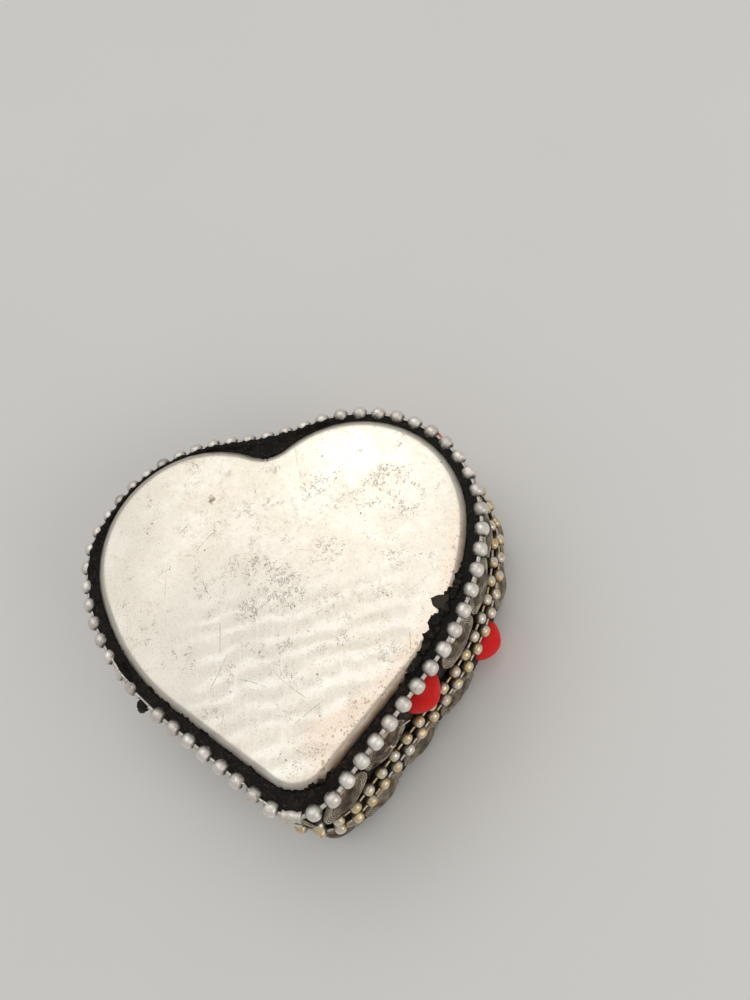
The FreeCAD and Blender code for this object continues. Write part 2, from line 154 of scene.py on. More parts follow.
def islands(name):
    """Points of each separate solid in a CAD node."""
    points = node_points(name)
    welded = np.unique(np.round(points, 3), axis=0, return_inverse=True)[1].reshape(-1)
    ends = welded[rows_of(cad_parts[name].data.edges, "vertices", 2, int)]
    label = np.arange(welded.max() + 1)
    while True:
        low = np.minimum(label[ends[:, 0]], label[ends[:, 1]])
        lower = label.copy()
        np.minimum.at(lower, ends[:, 0], low)
        np.minimum.at(lower, ends[:, 1], low)
        lower = lower[lower]
        if np.array_equal(lower, label):
            break
        label = lower
    owner = label[welded]
    return [points[owner == value] for value in np.unique(owner)]


def linked(name, data):
    """Object put in the scene for a mesh, a light or the camera."""
    obj = bpy.data.objects.new(name, data)
    bpy.context.scene.collection.objects.link(obj)
    return obj


def faces_of(mesh):
    return [tuple(polygon.vertices) for polygon in mesh.polygons]


class Shape:
    """Vertices, faces and painted values gathered for one mesh, in millimetres."""

    def __init__(self):
        self.points = []
        self.faces = []
        self.paint = {}
        self.count = 0

    def add(self, points, faces, **paint):
        """Adds one closed form; every call paints the same values."""
        points = np.asarray(points, dtype=float)
        self.points.append(points)
        self.faces += [tuple(index + self.count for index in face) for face in faces]
        self.count += len(points)
        for key, value in paint.items():
            self.paint.setdefault(key, []).append(np.broadcast_to(value, (len(points),)))

    def piece(self, name, smooth=True):
        """Object made of everything added."""
        mesh = bpy.data.meshes.new(name)
        mesh.from_pydata((np.concatenate(self.points) * MM).tolist(), [], self.faces)
        for key, values in self.paint.items():
            layer = mesh.attributes.new(key, "FLOAT", "POINT")
            layer.data.foreach_set("value", np.concatenate(values))
        mesh.polygons.foreach_set("use_smooth", [smooth] * len(mesh.polygons))
        mesh.update()
        return linked(name, mesh)


def closed_faces(rows, sides):
    """Outward faces of a closed form made of rows of points, each row anticlockwise as seen
    from the first row's end."""
    faces = []
    for low in range(0, (rows - 1) * sides, sides):
        for side in range(sides):
            after = (side + 1) % sides
            faces.append((low + sides + side, low + sides + after, low + after, low + side))
    faces.append(tuple(range(sides)))
    faces.append(tuple(reversed(range((rows - 1) * sides, rows * sides))))
    return faces


def ring_faces(rings, sides):
    """Faces of a form that closes on itself, made of rings of points one after another."""
    faces = []
    for ring in range(rings):
        here, there = ring * sides, (ring + 1) % rings * sides
        for side in range(sides):
            after = (side + 1) % sides
            faces.append((here + side, there + side, there + after, here + after))
    return faces


def declare(piece, body, slot, node=None):
    """Gives a piece its look, hangs it on the empty of the body that it rides on, and hides the CAD
    node that it stands for.
    """
    piece.data.materials.append(looks[slot])
    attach(piece, body)
    if node:
        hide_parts(node)


def turned(profile, sides):
    """Closed form turned about Z from (radius, height) pairs that run from top to bottom."""
    angles = np.arange(sides) * 2 * math.pi / sides
    points = [(r * math.cos(a), r * math.sin(a), h) for r, h in profile for a in angles]
    return np.array(points), closed_faces(len(profile), sides)


def unit(vector):
    return vector / np.linalg.norm(vector)


def level_way(point):
    """Level direction from the box's axis to a point."""
    return unit(point * (1, 1, 0))


def flatten(points, way, level, share=1.0):
    """Presses in a share of what stands out past a level along a direction."""
    points -= np.outer(np.maximum(points @ way - level, 0) * share, way)


def axes_on(normal):
    """Columns across, up and out for a face that looks along the normal."""
    across = unit(np.cross(UP, normal))
    return np.stack((across, np.cross(normal, across), normal), axis=1)


def wobble(points, size, seed):
    """Smooth noise from -1 to 1 at each point; size is that of one lump."""
    shift = Vector((seed * 7.3, seed * 3.1, seed * 5.7))
    return np.array([noise.noise(Vector(point) / size + shift) for point in points])


# ---------------------------------------------------------------- the way round the box
def in_ring_order(centres):
    """Sorted from the tip, towards +X first, and back to the tip."""
    return sorted(centres, key=lambda c: math.atan2(c[0], -c[1]) % (2 * math.pi))


def split_chain(node, ball):
    """Ball centres in ring order, and (centre, axis, length) of each link."""
    balls, links = [], []
    for points in islands(node):
        centre = middle_of(points)
        if np.ptp(points, axis=0).min() > 1.8 * ball:
            balls.append(centre)
            continue
        axis = np.linalg.svd(points - centre, full_matrices=False)[2][0]
        reach = (points - centre) @ axis
        links.append((centre, axis, reach.max() - reach.min()))
    return in_ring_order(balls), links


def smooth_ring(places, samples):
    """Even points and outward normals on a closed Catmull-Rom curve through the places."""
    count = len(places)
    fine = []
    for index in range(count):
        a, b, c, d = (places[(index + k) % count] for k in (-1, 0, 1, 2))
        for t in np.linspace(0, 1, 24, endpoint=False):
            fine.append(
                b + 0.5 * t * (c - a + t * (2 * a - 5 * b + 4 * c - d + t * (3 * (b - c) + d - a)))
            )
    fine = np.array(fine)
    steps = np.linalg.norm(np.roll(fine, -1, axis=0) - fine, axis=1)
    length = np.concatenate(([0], np.cumsum(steps)))
    looped = np.vstack((fine, fine[:1]))
    at = np.linspace(0, length[-1], samples, endpoint=False)
    ring = np.stack([np.interp(at, length, looped[:, axis]) for axis in range(3)], axis=1)
    along = np.roll(ring, -3, axis=0) - np.roll(ring, 3, axis=0)
    outward = np.stack((along[:, 1], -along[:, 0], np.zeros(samples)), axis=1)
    return ring, outward / np.linalg.norm(outward, axis=1)[:, None]


# ---------------------------------------------------------------- ball chain
def ball_form(radius, hole, draw, crushed=1.0, slit=0.05):
    """Hollow ball of rolled strip, its axis along Z: barrel sides, worn flats, a lip at each
    hole and a fine seam from hole to hole."""
    profile = [(hole * 0.9, 0.7), (hole, 0.93)]
    for t in np.linspace(0.95, -0.95, 15):
        profile.append((radius * 0.97 * (1 - abs(t) ** 2.5) ** 0.45, t))
    profile += [(hole, -0.93), (hole * 0.9, -0.7)]
    points, faces = turned([(r, t * radius * 0.96) for r, t in profile], BALL_SIDES)
    for _ in range(6):
        flat = unit(np.array([draw.gauss(0, 1), draw.gauss(0, 1), draw.gauss(0, 0.6)]))
        flatten(points, flat, radius * draw.uniform(0.88, 0.97), 0.8)
    seam = np.arange(len(points)) % BALL_SIDES == 0
    middle = np.abs(points[:, 2]) < 0.9 * radius
    points[seam & middle, :2] *= 1 - slit
    points[:, 0] *= crushed
    # Painted shade: each ball is darkened towards its holes, where it meets its links, and along
    # its seam.
    grime = np.clip((np.abs(points[:, 2]) / radius - 0.72) / 0.25, 0, 1)
    grime[seam] = np.maximum(grime[seam], min(slit * 5, 1))
    return points, faces, grime


def link_form(radius, length):
    """Straight wire along Z, a little thinner in the middle."""
    waist = ((1, 1), (0.93, 0.4), (0.9, 0), (0.93, -0.4), (1, -1))
    return turned([(radius * thick, length / 2 * place) for thick, place in waist], LINK_SIDES)


def turn_to(axis, spin):
    """Rotation whose Z is the axis, spun about it."""
    side = unit(np.cross(axis, UP + 0.01))
    cos, sin = math.cos(spin), math.sin(spin)
    turn = ((cos, -sin, 0), (sin, cos, 0), (0, 0, 1))
    return np.stack((side, np.cross(axis, side), axis), axis=1) @ turn


def sag_at(point):
    """How the large chain has slipped inward and down round the left lobe."""
    lobe = np.array((*LEFT_LOBE, point[2]))
    turn = math.degrees(math.atan2(point[1] - lobe[1], point[0] - lobe[0]))
    share = ease(turn, 70, 100) * (1 - ease(turn, 135, 168))
    return (unit(lobe - point) * SLIP_IN - UP * SLIP_DOWN) * share


def under_top(points):
    """Points kept below the top of the CAD box."""
    points[:, 2] = np.minimum(points[:, 2], BOX_TOP)
    return points


def add_wire(shape, centre, axis, radius, length, **paint):
    """Straight wire about a centre, along an axis."""
    points, faces = link_form(radius, length)
    shape.add(under_top(points @ turn_to(axis, 0).T + centre), faces, **paint)


def add_loose_strand(shape, balls, index, ball, link, draw):
    """Bare wire across the gap after a ball, and a wobbly strand over the balls before it."""
    here, there = balls[index], balls[(index + 1) % len(balls)]
    step = there - here
    length = np.linalg.norm(step) - 1.9 * ball
    add_wire(shape, (here + there) / 2, unit(step), link * 0.62, length, tone=0.2, grime=0.3)
    strand = [here + UP * 0.2, here + UP * 0.9 * ball]
    strand += [balls[index - 1] + UP * 0.95 * ball, balls[index - 2] + UP * 0.65 * ball]
    strand = np.array(strand) - level_way(here) * 0.35
    knots = [strand[0]]
    for begin, end in zip(strand, strand[1:]):
        for t in (0.25, 0.5, 0.75, 1.0):
            slip = np.array([draw.gauss(0, 0.09) for _ in range(3)])
            knots.append(begin + (end - begin) * t + slip)
    for begin, end in zip(knots, knots[1:]):
        run = end - begin
        length = np.linalg.norm(run) + 0.12
        grime = draw.uniform(0, 0.6)
        add_wire(shape, (begin + end) / 2, unit(run), STRAND, length, tone=0.1, grime=grime)


def chain(name, node, body, slot, ball, link, seed, dark=(), crushed=(), open_seam=None):
    """Ball chain in place of a CAD one, with its balls and links where the CAD has them."""
    draw = random.Random(seed)
    balls, links = split_chain(node, ball)
    if ball == BIG_BALL:
        balls = [centre + sag_at(centre) for centre in balls]
        links = [(centre + sag_at(centre), axis, length) for centre, axis, length in links]
    shape = Shape()
    count = len(balls)
    for index, centre in enumerate(balls):
        along = unit(balls[(index + 1) % count] - balls[index - 1])
        tone = 1.0 if index in dark else draw.uniform(0, 0.55)
        squash = 0.66 if index in crushed else 1.0
        slit = 0.2 if index == open_seam else draw.uniform(0, 0.04)
        points, faces, grime = ball_form(ball, link * 1.3, draw, squash, slit)
        spin = 2.2 if index == open_seam else draw.uniform(0, 2 * math.pi)
        tilt = unit(along + np.array([draw.gauss(0, 0.05) for _ in range(3)]))
        offset = points @ turn_to(tilt, spin).T
        # Painted shade: the side of each ball turned away from the open way, outward and up, is
        # darkened as if in shadow.
        open_way = unit(level_way(centre) * 0.8 + UP)
        shaded_side = np.clip((0.72 - offset @ open_way / ball) / 0.8, 0, 1)
        grime = np.maximum(grime, shaded_side**1.4)
        shape.add(under_top(offset + centre), faces, tone=tone, grime=grime)
    for centre, axis, length in links:
        tone = draw.uniform(0, 0.4)
        add_wire(shape, centre, axis, link, length + 0.2 * ball, tone=tone, grime=0.25)
    steps = np.linalg.norm(np.roll(balls, -1, axis=0) - balls, axis=1)
    for index in np.flatnonzero(steps > 1.5 * np.median(steps)):
        add_loose_strand(shape, balls, index, ball, link, draw)
    declare(shape.piece(name), body, slot, node)
    return balls


def crimped_tube(name, node, body, slot):
    """Short tube that joins the ends of the large chain, pinched at both ends."""
    points = node_points(node)
    centre = middle_of(points)
    along = np.linalg.svd(points - centre, full_matrices=False)[2][0]
    wide = unit(np.cross(along, UP))
    reach = ((points - centre) @ along).max()
    rows = [(-0.7, TUBE_BORE), (-1, 0.86), (-0.97, 0.97), (-0.8, 0.9), (-0.55, 0.78), (-0.3, 0.95)]
    rows += [(0, 1)] + [(-place, size) for place, size in reversed(rows)]
    sides = 28
    rings = []
    for place, size in rows:
        pinch = 1 + 0.18 * (1 - size)
        for angle in np.arange(sides) * 2 * math.pi / sides:
            x = TUBE_WIDE * size * pinch * math.cos(angle)
            y = TUBE_FLAT * size * math.sin(angle)
            rings.append(centre + along * place * reach + wide * x + UP * y)
    shape = Shape()
    shape.add(rings, closed_faces(len(rows), sides), tone=0.3, grime=0.15)
    declare(shape.piece(name), body, slot, node)


# ---------------------------------------------------------------- ornaments
def seat_of(node, top):
    """Centre on the lac and outward axes of an ornament. A cabochon's come from its widest ring
    of points, which lies square to them."""
    points = node_points(node)
    rim = points
    if "cabochon" in node:
        rim = points[np.linalg.norm(points - points.mean(axis=0), axis=1) > STONE_RADIUS * 0.97]
    normal = np.linalg.svd(rim - rim.mean(axis=0), full_matrices=False)[2][2]
    if normal @ level_way(middle_of(points)) < 0:
        normal = -normal
    height = points @ normal
    centre = middle_of(points - np.outer(height, normal))
    return centre + normal * (height.max() - top), axes_on(normal)


def seated(points, centre, axes):
    """Points of an ornament put in place; one right at the tip is bent round it."""
    placed = points @ axes.T
    if centre[1] < TIP_START and abs(centre[0]) < TIP_HALF:
        normal = axes[:, 2]
        across = placed @ unit(np.cross(UP, normal))
        placed -= np.outer(across**2 / (2 * TIP_BEND), normal)
    return placed + centre


def stamped_disc(node, body, draw):
    """Thin stamped disc: four wire-like ridges round a low, slightly dented dome."""
    centre, axes = seat_of(node, DISC_TOP)
    crown = DISC_TOP - 0.05
    rings = [(0.02, crown, 0.0)]
    for r in np.linspace(0.35, DISC_FOOT - 0.08, 13):
        rings.append((r, DISC_RIM + (crown - DISC_RIM) * (1 - (r / DISC_FOOT) ** 2.3) ** 0.85, 0.0))
    # Each ring carries a painted brightness: wear and painted highlight on the ridge tops and the
    # rim, painted shade in the grooves.
    for radius, rise in RIDGES:
        for step, lift, bright in RIDGE_SECTION:
            rings.append((radius + step, DISC_RIM - 0.12 + rise * lift, bright))
    rings += [(DISC_RADIUS, DISC_RIM - 0.14, 0.45), (DISC_RADIUS, DISC_RIM - 0.42, 0.2)]
    rings.append((DISC_RADIUS - 0.16, -0.5, 0.0))
    points, faces = turned([ring[:2] for ring in rings], ORNAMENT_SIDES)
    shine = np.repeat([ring[2] for ring in rings], ORNAMENT_SIDES)
    angle = np.arctan2(points[:, 1], points[:, 0])
    reach = np.hypot(points[:, 0], points[:, 1])
    for wave in (2, 3, 5):
        bend = np.abs(draw.uniform(0.2, 1) * np.sin(wave * angle + draw.uniform(0, 6.3)))
        points[:, 2] -= 0.09 * bend * reach / DISC_RADIUS * (points[:, 2] > 0)
        points[:, :2] *= (1 - 0.012 * bend)[:, None]
    for _ in range(8):
        spot = np.array((draw.uniform(-3.4, 3.4), draw.uniform(-3.4, 3.4)))
        size, depth = draw.uniform(0.5, 1.4), draw.uniform(0.08, 0.4)
        apart = np.linalg.norm(points[:, :2] - spot, axis=1)
        points[:, 2] -= depth * np.exp(-((apart / size) ** 2)) * (points[:, 2] > 0.3)
    shape = Shape()
    shape.add(seated(points, centre, axes), faces, shine=shine, tone=draw.random())
    declare(shape.piece(f"{node}_stamped"), body, "disc", node)
    return centre, axes, DISC_RADIUS


def cabochon(node, body, draw):
    """Red stone: a blunt, hand-rounded dome with faint flats."""
    centre, axes = seat_of(node, STONE_TOP)
    profile = []
    for t in np.linspace(0.01, 1, 24):
        profile.append((STONE_RADIUS * t, (STONE_TOP - 0.03) * (1 - t**1.9) ** 0.72))
    profile += [(STONE_RADIUS, -0.25), (STONE_RADIUS * 0.98, -0.5)]
    points, faces = turned(profile, ORNAMENT_SIDES)
    lumps = 0.5 + 0.5 * wobble(points, 2.6, draw.uniform(1, 50))
    fine = 0.5 + 0.5 * wobble(points, 0.8, draw.uniform(1, 50))
    points *= (1 - 0.05 * lumps - 0.012 * fine)[:, None]
    for _ in range(5):
        flat = unit(np.array([draw.gauss(0, 1), draw.gauss(0, 1), draw.uniform(0.3, 1.6)]))
        flatten(points, flat, (points @ flat).max() * draw.uniform(0.93, 0.98), 0.75)
    shape = Shape()
    shape.add(points @ axes.T + centre, faces, tone=draw.random())
    declare(shape.piece(f"{node}_stone"), body, "stone", node)
    return centre, axes, STONE_RADIUS


# ---------------------------------------------------------------- lac
def squeezed_lac(shape, centre, axes, radius, draw):
    """Lac that fills in under an ornament and wells up round its edge."""
    skirt = [(radius - 0.1, -0.06), (radius + 0.22, -0.12), (radius + 0.6, -1.5)]
    points, faces = turned(skirt, 48)
    shape.add(seated(points, centre, axes), faces)
    sides, tube = 56, 8
    seed = draw.uniform(1, 90)
    rolls = []
    for index in range(sides):
        angle = index * 2 * math.pi / sides
        lump = noise.noise(Vector((math.cos(angle) * 2.2, math.sin(angle) * 2.2, seed)))
        thick = 0.3 + 0.16 * lump
        away = radius + 0.16 + 0.1 * lump
        for step in range(tube):
            turn = step * 2 * math.pi / tube
            reach = away + thick * math.cos(turn)
            height = -0.02 + thick * 0.9 * math.sin(turn)
            rolls.append((reach * math.cos(angle), reach * math.sin(angle), height))
    shape.add(seated(np.array(rolls), centre, axes), ring_faces(sides, tube))


def voxel_skin(shape):
    """Joined forms made into one even skin; points are in millimetres."""
    rough = shape.piece("rough")
    rough.data.transform(Matrix.Scale(1 / MM, 4))
    remesh = rough.modifiers.new("grain", "REMESH")
    remesh.mode = "VOXEL"
    remesh.voxel_size = LAC_GRAIN
    bpy.context.view_layer.update()
    graph = bpy.context.evaluated_depsgraph_get()
    mesh = bpy.data.meshes.new_from_object(rough.evaluated_get(graph))
    bpy.data.objects.remove(rough)
    return mesh


def lac_band(name, node, body, seats, seed):
    """Hand-worked lac: the CAD band with squeezed edges, its surface pressed and pitted."""
    draw = random.Random(seed)
    shape = Shape()
    shape.add(node_points(node), faces_of(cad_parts[node].data))
    for centre, axes, radius in seats:
        squeezed_lac(shape, centre, axes, radius, draw)
    skin = voxel_skin(shape)
    points = rows_of(skin.vertices, "co")
    sunk = np.array([trough_at(point) for point in points])
    points[:, 2] -= sunk * np.clip((points[:, 2] - 24.9) / 1.5, 0, 1)
    normals = rows_of(skin.vertices, "normal")
    pressed = 0.5 + 0.5 * wobble(points, 2.4, seed)
    pitted = np.clip(wobble(points, 0.75, seed + 1), 0, 1)
    grain = wobble(points, 0.4, seed + 2)
    points -= normals * (0.05 + 0.2 * pressed + 0.2 * pitted + 0.06 * (grain + 1))[:, None]
    shape = Shape()
    # The pits are also painted darker, as painted shade in the hollows.
    shape.add(points, faces_of(skin), pit=pitted)
    declare(shape.piece(name), body, "lac", node)


def ease(value, low, high):
    """Smooth rise from 0 to 1 while the value goes from low to high."""
    t = min(max((value - low) / (high - low), 0.0), 1.0)
    return t * t * (3 - 2 * t)


def lap_at(point):
    """How far the lac laps over the plate in millimetres: crumbled on the right flank, thin at
    the tip and in the cleft."""
    x, y = point[0], point[1]
    thick = 0.3 + 1.15 * math.exp(-(((y + 13.5) / 5) ** 2))
    crumbled = thick * ease(x, 13, 18) * ease(y, -24, -20) * ease(-y, -3, 4)
    tip = ease(-y, 30, 35)
    notch = math.exp(-((x / 3) ** 2)) * ease(y, 10, 15)
    left = ease(-x, 5, 11) * ease(-y, -3, 6)
    return crumbled + 0.5 * tip + 0.55 * notch + 0.38 * left


def trough_at(point):
    """How far the lac has sunk beside the plate, along the right flank near the tip."""
    x, y = point[0], point[1]
    return 0.85 * ease(x, -1, 5) * ease(-y, 17, 22)


def bank_at(point):
    """How far the lac is banked up against the large chain: most behind and on the left."""
    turn = math.degrees(math.atan2(point[1], point[0])) % 360
    behind = ease(turn, 55, 72) * ease(-turn, -182, -166)
    left = 0.5 * ease(turn, 160, 170) * ease(-turn, -222, -200)
    buried = math.exp(-(((point[0] + 27) ** 2 + (point[1] + 11.5) ** 2) / 14))
    return max(behind, left, buried)


def wall_depth(tin, start, out):
    """How far inward from a place on the large chain the wall of the lid's tin stands."""
    return tin.ray_cast(Vector((start[0], start[1], WALL_LEVEL)), Vector(-out))[3]


def lac_skin(name, tin, places, body):
    """Lac between the large chain and the plate: banked against the balls behind and on the
    left, and lapping over the plate's edge in crumbs on the right."""
    ring, outward = smooth_ring(places, SKIN_STEPS)
    tops = []
    for start, out in zip(ring, outward):
        wall = wall_depth(tin, start, out)
        lap, level = lap_at(start), LAC_LEVEL - trough_at(start)
        ragged = 1 + 0.8 * noise.noise(Vector(start) / 1.9) + 0.4 * noise.noise(Vector(start) / 0.8)
        reach = lap * max(ragged, 0) - 0.5 * (lap < 0.12)
        beside = min(np.linalg.norm(start - place) for place in places)
        fine = 0.1 * noise.noise(Vector(start) / 0.9)
        crest = bank_at(start) * (0.75 - 0.4 * ease(beside, 0.5, 1.5) + fine)
        for depth in np.linspace(0.3, wall + 1.9, SKIN_ROWS):
            spot = Vector((start[0], start[1], 0)) - Vector(out) * depth
            crumb = noise.voronoi(spot / 0.75)[0][0]
            lump = 0.5 * noise.noise(spot / 1.3) + 0.35 * noise.noise(spot / 0.45)
            free = level + 0.12 * lump + 0.14 * (0.45 - crumb)
            free += crest * (1 - ease(depth, 0.85, 0.85 + 0.7 * (wall - 0.7)))
            free += sag_at(start)[2] * (1 - ease(depth, 0.5, 2.0))
            height = free
            plate = tin.ray_cast(Vector((spot.x, spot.y, BOX_TOP + 1)), Vector(-UP))[0]
            if plate is not None:
                over = (reach - (depth - wall)) / 0.4 + 1.6 * (0.42 - crumb) + 0.8 * lump
                film = 0.16 * math.tanh(over) + 0.03 * lump
                height = max(plate.z + film, min(free, plate.z + 0.4))
            tops.append((spot.x, spot.y, min(height, SKIN_LIMIT)))
    tops = np.array(tops).reshape(SKIN_STEPS, SKIN_ROWS, 3)
    rings = np.concatenate((tops, tops[:, ::-1] - UP * SKIN_THICK), axis=1)
    shape = Shape()
    shape.add(rings.reshape(-1, 3), ring_faces(SKIN_STEPS, 2 * SKIN_ROWS), pit=0.0)
    declare(shape.piece(name), body, "lac")


# ---------------------------------------------------------------- small accidents of the finish
def lump_form(size, draw):
    """Irregular angular crumb about that many millimetres across."""
    rows, sides = 6, 9
    points = []
    for row in range(rows):
        lean = math.pi * (row + 0.5) / rows
        for side in range(sides):
            turn = 2 * math.pi * side / sides + draw.uniform(-0.15, 0.15)
            way = (math.sin(lean) * math.cos(turn), math.sin(lean) * math.sin(turn), math.cos(lean))
            points.append(np.array(way) * size * 0.5 * draw.uniform(0.85, 1.1))
    points = np.array(points)
    for _ in range(7):
        flat = unit(np.array([draw.gauss(0, 1) for _ in range(3)]))
        flatten(points, flat, size * 0.5 * draw.uniform(0.55, 0.8))
    return points, closed_faces(rows, sides)


def lac_crumbs(name, tin, places, body, draw):
    """Crumbs along the broken edge on the right flank, and a blob where a ball is missing."""
    shape = Shape()
    ring, outward = smooth_ring(places, SKIN_STEPS)
    edge = [pair for pair in zip(ring, outward) if lap_at(pair[0]) > 0.45 and pair[0][0] > 5]
    for _ in range(CRUMBS):
        start, out = draw.choice(edge)
        size = draw.uniform(0.5, 1.3)
        depth = wall_depth(tin, start, out) + lap_at(start) * draw.uniform(0.5, 1.05) - 0.4
        place = start - out * depth
        points, faces = lump_form(size, draw)
        points[:, 2] *= 0.8
        place[2] = min(PLATE_TOP + 0.02, SKIN_LIMIT - points[:, 2].max())
        shape.add(points + place, faces, pit=0.0, bare=draw.uniform(0, 0.5))
    lost = min(places, key=lambda place: np.linalg.norm(place[:2] - LOST_BALL))
    for away, drop, size in ((0.6, 0.8, 2.5), (0.1, 1.0, 1.8), (1.3, 1.5, 1.6), (0.4, 1.8, 2.0)):
        points, faces = lump_form(size, draw)
        shape.add(points + lost + level_way(lost) * away - UP * drop, faces, pit=0.0, bare=0.1)
    declare(shape.piece(name, smooth=False), body, "lac")


def stuck_flake(name, centre, body, draw):
    """Angular flake of lac stuck to the edge of the plate."""
    outline = [(-1.15, 0.7), (-0.2, 0.95), (1.1, 0.75), (0.9, 0.1)]
    outline += [(0.45, -0.35), (0.3, -1.0), (-0.5, -0.85), (-1.05, -0.2)]
    points = []
    for size, height in ((0.95, 0.58), (1.25, 0.46), (1.3, 0.1), (1.1, 0.0)):
        for x, y in outline:
            points.append((x * size, y * size, height + draw.uniform(-0.03, 0.03)))
    faces = [face[::-1] for face in closed_faces(4, len(outline))]
    shape = Shape()
    shape.add(np.array(points) + centre, faces, pit=0.0, bare=1.0)
    declare(shape.piece(name, smooth=False), body, "lac")


def on_wall(wall, place):
    """Point and normal where the lid's side is met from outside at one place."""
    place = Vector(place)
    inward = Vector((-place.x, -place.y - 2, 0)).normalized()
    point, normal = wall.ray_cast(place - inward * 12, inward)[:2]
    return np.array(point), unit(np.array(normal))


def bent_wires(name, wall, places, body, draw):
    """Loose crescents of fine wire caught between the chains."""
    shape = Shape()
    steps, sides = 22, 8
    for place, radius, turn, sweep in places:
        point, normal = on_wall(wall, place)
        axes = axes_on(normal)
        points = []
        for t in np.linspace(0, 1, steps):
            angle = turn + sweep * (t - 0.5)
            thick = WIRE_THICK * math.sin(math.pi * min(max(t, 0.04), 0.96)) ** 0.4
            way = np.array((math.cos(angle), math.sin(angle), 0.0))
            middle = (way - (math.cos(turn), math.sin(turn), 0)) * radius + UP * 0.3
            for side in range(sides):
                spin = side * 2 * math.pi / sides
                points.append(middle + (way * math.cos(spin) + UP * math.sin(spin)) * thick)
        faces = closed_faces(steps, sides)
        shape.add(np.array(points) @ axes.T + point, faces, tone=draw.uniform(0, 0.3), grime=0.1)
    declare(shape.piece(name), body, "chain_gilt")


def stray_beads(name, wall, places, body, draw):
    """Odd small balls stuck to the lac below the large chain."""
    shape = Shape()
    for place, radius in places:
        point, normal = on_wall(wall, place)
        points, faces, grime = ball_form(radius, 0.25, draw)
        axis = unit(np.array((draw.gauss(0, 1), draw.gauss(0, 1), 0.4)))
        placed = points @ turn_to(axis, 0).T + point + normal * radius * 0.55
        shape.add(placed, faces, tone=draw.random() * 0.4, grime=grime)
    declare(shape.piece(name), body, "chain_silver")


